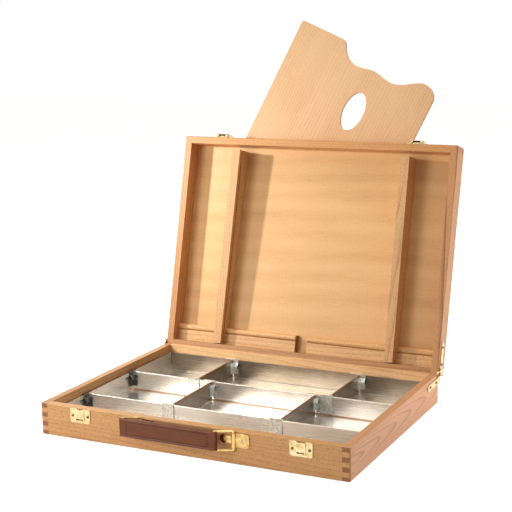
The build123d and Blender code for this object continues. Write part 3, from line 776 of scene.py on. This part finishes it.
grip_low, grip_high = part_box("handle_leather")
grip_centre = (grip_low + grip_high) / 2
half_l = (grip_high.x - grip_low.x) / 2 / MM
half_h = (grip_high.z - grip_low.z) / 2 / MM
half_t = (grip_high.y - grip_low.y) / 2 / MM
fold_r = half_t
wire_x = half_l - fold_r
GRID_X, GRID_Z = 0.9, 0.5  # the mesh's steps
SEAM_X, SEAM_Z = 59.0, 8.4  # from the middle to the stitched rectangle's sides
SEAM_DEPTH, SEAM_WIDTH = 0.1, 0.8  # the line that the stitches pull in
PAD_HEIGHT, PAD_RUN = 0.4, 3.0  # the padded middle, and how far from the seam it rises
RIM_HEIGHT, RIM_INSET, RIM_WIDTH = 0.45, 2.0, 1.3  # the raised line along each long edge
PRESSED = 0.75  # how far each pressed face lies in from the folds round the wires
EDGE_ROUND, EDGE_THIN = 1.6, 0.35  # the rounding's width, and the part of the thickness left there
THINNEST = 0.05
NOTCH_X, NOTCH_Z, NOTCH_Y = 16.6, 10.9, -1.6  # behind, where the rings' arms swing
NOTCH_LEFT = 0.1  # the least leather left in front of the arms
WIRE_R = 1.25
LEFT_PLAY, RIGHT_PLAY = 0.06, 0.3  # the grip turns on the left wire and floats on the right one


def seam_distance(x, z):
    """How far a point of the grip's face is from the stitched line, negative inside it."""
    dx = abs(x) - SEAM_X
    dz = abs(z) - SEAM_Z
    return hypot(max(dx, 0), max(dz, 0)) + min(max(dx, dz), 0)


def grip_thickness(x, z):
    """Half the grip's thickness in mm: rounded edges, a pressed seam and a padded middle."""
    over = max(abs(x) - wire_x, 0)
    reach = sqrt(max(fold_r**2 - over**2, 0.0))
    edge = min(max((half_h - abs(z)) / EDGE_ROUND, 0), 1)
    rounding = EDGE_THIN + (1 - EDGE_THIN) * sqrt(max(1 - (1 - edge) ** 2, 0))
    seam = seam_distance(x, z)
    groove = SEAM_DEPTH * exp(-((seam / SEAM_WIDTH) ** 2))
    padding = PAD_HEIGHT * min(max(-seam / PAD_RUN, 0), 1)
    rim = 0
    if abs(x) < wire_x:
        rim = RIM_HEIGHT * exp(-(((abs(z) - half_h + RIM_INSET) / RIM_WIDTH) ** 2))
    full = (half_t - PRESSED + padding + rim - groove) * rounding
    return max(min(full, reach * rounding), THINNEST)


def grip_face(side, x, z):
    """The grip's face in mm, front or back; behind, it is pared away for the rings' arms."""
    y = side * grip_thickness(x, z)
    pared = side > 0 and abs(abs(x) - wire_x) < NOTCH_X and abs(z) > NOTCH_Z - GRID_Z
    if pared:
        y = max(NOTCH_Y, NOTCH_LEFT - grip_thickness(x, z))
    return y


def build_grip():
    """The grip's two faces on a fine grid, joined all round."""
    steps_x = int(2 * half_l / GRID_X)
    steps_z = int(2 * half_h / GRID_Z)
    xs = [-half_l + 2 * half_l * i / steps_x for i in range(steps_x + 1)]
    zs = [-half_h + 2 * half_h * j / steps_z for j in range(steps_z + 1)]
    mesh = bmesh.new()
    sheets = {}
    for side in (-1, 1):
        for i, x in enumerate(xs):
            for j, z in enumerate(zs):
                point = grip_centre + Vector((x, grip_face(side, x, z), z)) * MM
                sheets[side, i, j] = mesh.verts.new(point)
    for i in range(steps_x):
        for j in range(steps_z):
            for side in (-1, 1):
                corners = [(i, j), (i + 1, j), (i + 1, j + 1), (i, j + 1)]
                if side > 0:
                    corners.reverse()
                mesh.faces.new([sheets[side, a, b] for a, b in corners])
    rim = [(i, 0) for i in range(steps_x)] + [(steps_x, j) for j in range(steps_z)]
    rim += [(i, steps_z) for i in range(steps_x, 0, -1)] + [(0, j) for j in range(steps_z, 0, -1)]
    for here, there in zip(rim, rim[1:] + rim[:1]):
        mesh.faces.new(
            [sheets[-1, *there], sheets[-1, *here], sheets[1, *here], sheets[1, *there]]
        )
    bmesh.ops.recalc_face_normals(mesh, faces=mesh.faces)
    grip = piece_from(mesh, "leather_grip", hide)
    grip.data.shade_smooth()
    return grip


def bore(target, centre, radius, height):
    """Cuts an upright round hole through a piece, where a wire turns in it."""
    mesh = bmesh.new()
    bmesh.ops.create_cone(
        mesh,
        cap_ends=True,
        segments=32,
        radius1=radius,
        radius2=radius,
        depth=height,
        matrix=Matrix.Translation(centre),
    )
    cutter = piece_from(mesh, "bore")
    cut = target.modifiers.new("bore", "BOOLEAN")
    cut.operation = "DIFFERENCE"
    cut.solver = "EXACT"
    cut.object = cutter
    bpy.context.view_layer.update()
    depsgraph = bpy.context.evaluated_depsgraph_get()
    result = bpy.data.meshes.new_from_object(target.evaluated_get(depsgraph))
    target.modifiers.clear()
    target.data = result
    bpy.data.objects.remove(cutter)


def stitches():
    """Thread laid in the pressed seam on both faces, one stitch every 3.4 mm.

    Each stitch is drawn 1.4 mm thick, coarser than the thread is, so that it shows.
    """
    pitch, half_length, half_thick, proud = 3.4, 0.7, 0.7, 0.05
    mesh = bmesh.new()
    runs = []
    count_x = int(2 * SEAM_X / pitch)
    count_z = int(2 * SEAM_Z / pitch)
    for k in range(count_x + 1):
        x = -SEAM_X + 2 * SEAM_X * k / count_x
        runs += [(x, SEAM_Z, 0.0), (x, -SEAM_Z, 0.0)]
    for k in range(1, count_z):
        z = -SEAM_Z + 2 * SEAM_Z * k / count_z
        runs += [(SEAM_X, z, pi / 2), (-SEAM_X, z, pi / 2)]
    for side in (-1, 1):
        for x, z, turn in runs:
            y = grip_face(side, x, z) + proud * side
            spot = grip_centre + Vector((x, y, z)) * MM
            shape = (
                Matrix.Translation(spot)
                @ Matrix.Rotation(turn, 4, "Y")
                @ Matrix.Diagonal((half_length * MM, half_thick * MM, half_thick * MM, 1))
            )
            bmesh.ops.create_icosphere(mesh, subdivisions=2, radius=1.0, matrix=shape)
    seam = piece_from(mesh, "grip_stitching", thread)
    seam.data.shade_smooth()
    return seam


grip = build_grip()
for end, play in ((-1, LEFT_PLAY), (1, RIGHT_PLAY)):
    wire = grip_centre + Vector((end * wire_x * MM, 0, 0))
    bore(grip, wire, (WIRE_R + play) * MM, 3 * half_h * MM)
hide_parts("handle_leather")
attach(grip, "grip")
seam = stitches()
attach(seam, "grip")


# Studio

WORLD_LIGHT = 0.17
AMBIENT = "#FFF0DF"
PAPER_GLOW = 0.92  # with the shadowed grey below, an unshadowed floor comes to white
SHADOW_GREY = 0.6
FLOOR_REACH = 6.0  # metres each way
FLOOR_DROP = 0.2  # mm below the box's underside
scene = bpy.context.scene
scene.view_settings.view_transform = "Standard"


def sweep_material():
    """Matt white paper, which shows as a white ground and still takes a soft shadow."""
    material, tree, _, space = new_material("white_paper")
    fibre_place = add_node(
        tree, "ShaderNodeMapping", {"Scale": per_mm(3, 3, 3)}, {"Vector": space}
    )
    fibres = add_node(
        tree, "ShaderNodeTexNoise", {"Scale": 1.0, "Detail": 2.0}, {"Vector": fibre_place}
    )
    tint = add_node(
        tree, "ShaderNodeValToRGB", {}, {"Fac": fibres}, [(0.4, "#EFEEEC"), (0.6, "#F3F2F0")]
    )
    paper = add_node(tree, "ShaderNodeBsdfDiffuse", {}, {"Color": tint})
    seen = what_eyes_see(tree)
    glow = add_node(
        tree, "ShaderNodeEmission", {"Color": (1, 1, 1, 1), "Strength": PAPER_GLOW}
    )
    grey = (SHADOW_GREY, SHADOW_GREY, SHADOW_GREY, 1)
    shaded = add_node(tree, "ShaderNodeBsdfDiffuse", {"Color": grey})
    bright = add_node(tree, "ShaderNodeAddShader", {}, {0: glow, 1: shaded})
    shown = add_node(tree, "ShaderNodeMixShader", {}, {0: seen, 1: paper, 2: bright})
    add_node(tree, "ShaderNodeOutputMaterial", {}, {"Surface": shown})
    return material


def floor():
    """A flat sheet of paper that reaches far past the view."""
    mesh = bmesh.new()
    bmesh.ops.create_grid(mesh, x_segments=8, y_segments=8, size=FLOOR_REACH)
    sheet = piece_from(mesh, "studio_floor", sweep_material())
    sheet.location.z = -FLOOR_DROP * MM


floor()

world = bpy.data.worlds.new("studio_white")
world.use_nodes = True
sky = world.node_tree
sky.nodes.clear()
seen = what_eyes_see(sky)
level = add_node(
    sky, "ShaderNodeMapRange", {"To Min": WORLD_LIGHT, "To Max": 1.0}, {"Value": seen}
)
tint = add_node(
    sky,
    "ShaderNodeMix",
    {"A": linear(AMBIENT), "B": linear("#FFFFFF")},
    {"Factor": seen},
    data_type="RGBA",
)
ground = add_node(
    sky, "ShaderNodeBackground", {}, {"Color": tint.outputs["Result"], "Strength": level}
)
add_node(sky, "ShaderNodeOutputWorld", {}, {"Surface": ground})
scene.world = world


def aimed(name, data, place, aim, colour):
    """Hangs a lamp at a place in metres, turned to what it lights."""
    data.color = linear(colour)[:3]
    lamp = bpy.data.objects.new(name, data)
    lamp.location = place
    lamp.rotation_euler = (Vector(aim) - Vector(place)).to_track_quat("-Z", "Y").to_euler()
    scene.collection.objects.link(lamp)


def soft_box(name, place, aim, size, watts, colour):
    """A square lamp behind white cloth: the larger it is, the softer its shadows."""
    data = bpy.data.lights.new(name, "AREA")
    data.shape = "SQUARE"
    data.size = size
    data.energy = watts
    aimed(name, data, place, aim, colour)


def spot_lamp(name, place, aim, radius, watts, spread, colour):
    """A small lamp close by, whose light fades to nothing at the edge of its spread in degrees."""
    data = bpy.data.lights.new(name, "SPOT")
    data.shadow_soft_size = radius
    data.spot_size = radians(spread)
    data.spot_blend = 1.0
    data.energy = watts
    aimed(name, data, place, aim, colour)


spot_lamp("lid_key", (-0.553, -0.071, 0.455), (0.03, 0.20, 0.15), 0.018, 13.5, 110.0, "#FFFDF8")
soft_box("overhead", (0.1, 0.1, 1.5), (0.0, 0.0, 0.0), 0.8, 7.5, "#FFF8EE")
soft_box("front_fill", (-0.62, -0.95, 0.40), (0.0, -0.15, 0.03), 0.5, 6.5, "#FFF8EE")
soft_box("back_fill", (-0.5, 1.7, 0.9), (0.0, 0.2, 0.15), 0.9, 16.0, "#FFF8EE")
soft_box("right_fill", (1.2, 0.7, 0.15), (0.2, 0.05, 0.05), 0.4, 9.0, "#FFF4E8")


# Camera

CAMERA_PLACE = (0.73935, -1.42253, 0.54457)
CAMERA_AZIMUTH = radians(24.886)
CAMERA_ELEVATION = radians(12.460)
CAMERA_ROLL = radians(-0.656)
CAMERA_LENS = 84.544
CAMERA_SHIFT = (-0.0795, 0.0552)

back = Vector(
    (
        sin(CAMERA_AZIMUTH) * cos(CAMERA_ELEVATION),
        -cos(CAMERA_AZIMUTH) * cos(CAMERA_ELEVATION),
        sin(CAMERA_ELEVATION),
    )
)
right = (-back).cross(Vector((0, 0, 1))).normalized()
up = right.cross(-back)
level_right = right * cos(CAMERA_ROLL) + up * sin(CAMERA_ROLL)
level_up = up * cos(CAMERA_ROLL) - right * sin(CAMERA_ROLL)
lens = bpy.data.cameras.new("studio_camera")
lens.lens = CAMERA_LENS
lens.sensor_width = 36.0
lens.shift_x, lens.shift_y = CAMERA_SHIFT
camera = bpy.data.objects.new("studio_camera", lens)
camera.matrix_world = Matrix.Translation(CAMERA_PLACE) @ Matrix(
    (level_right, level_up, back)
).transposed().to_4x4()
scene.collection.objects.link(camera)
scene.camera = camera
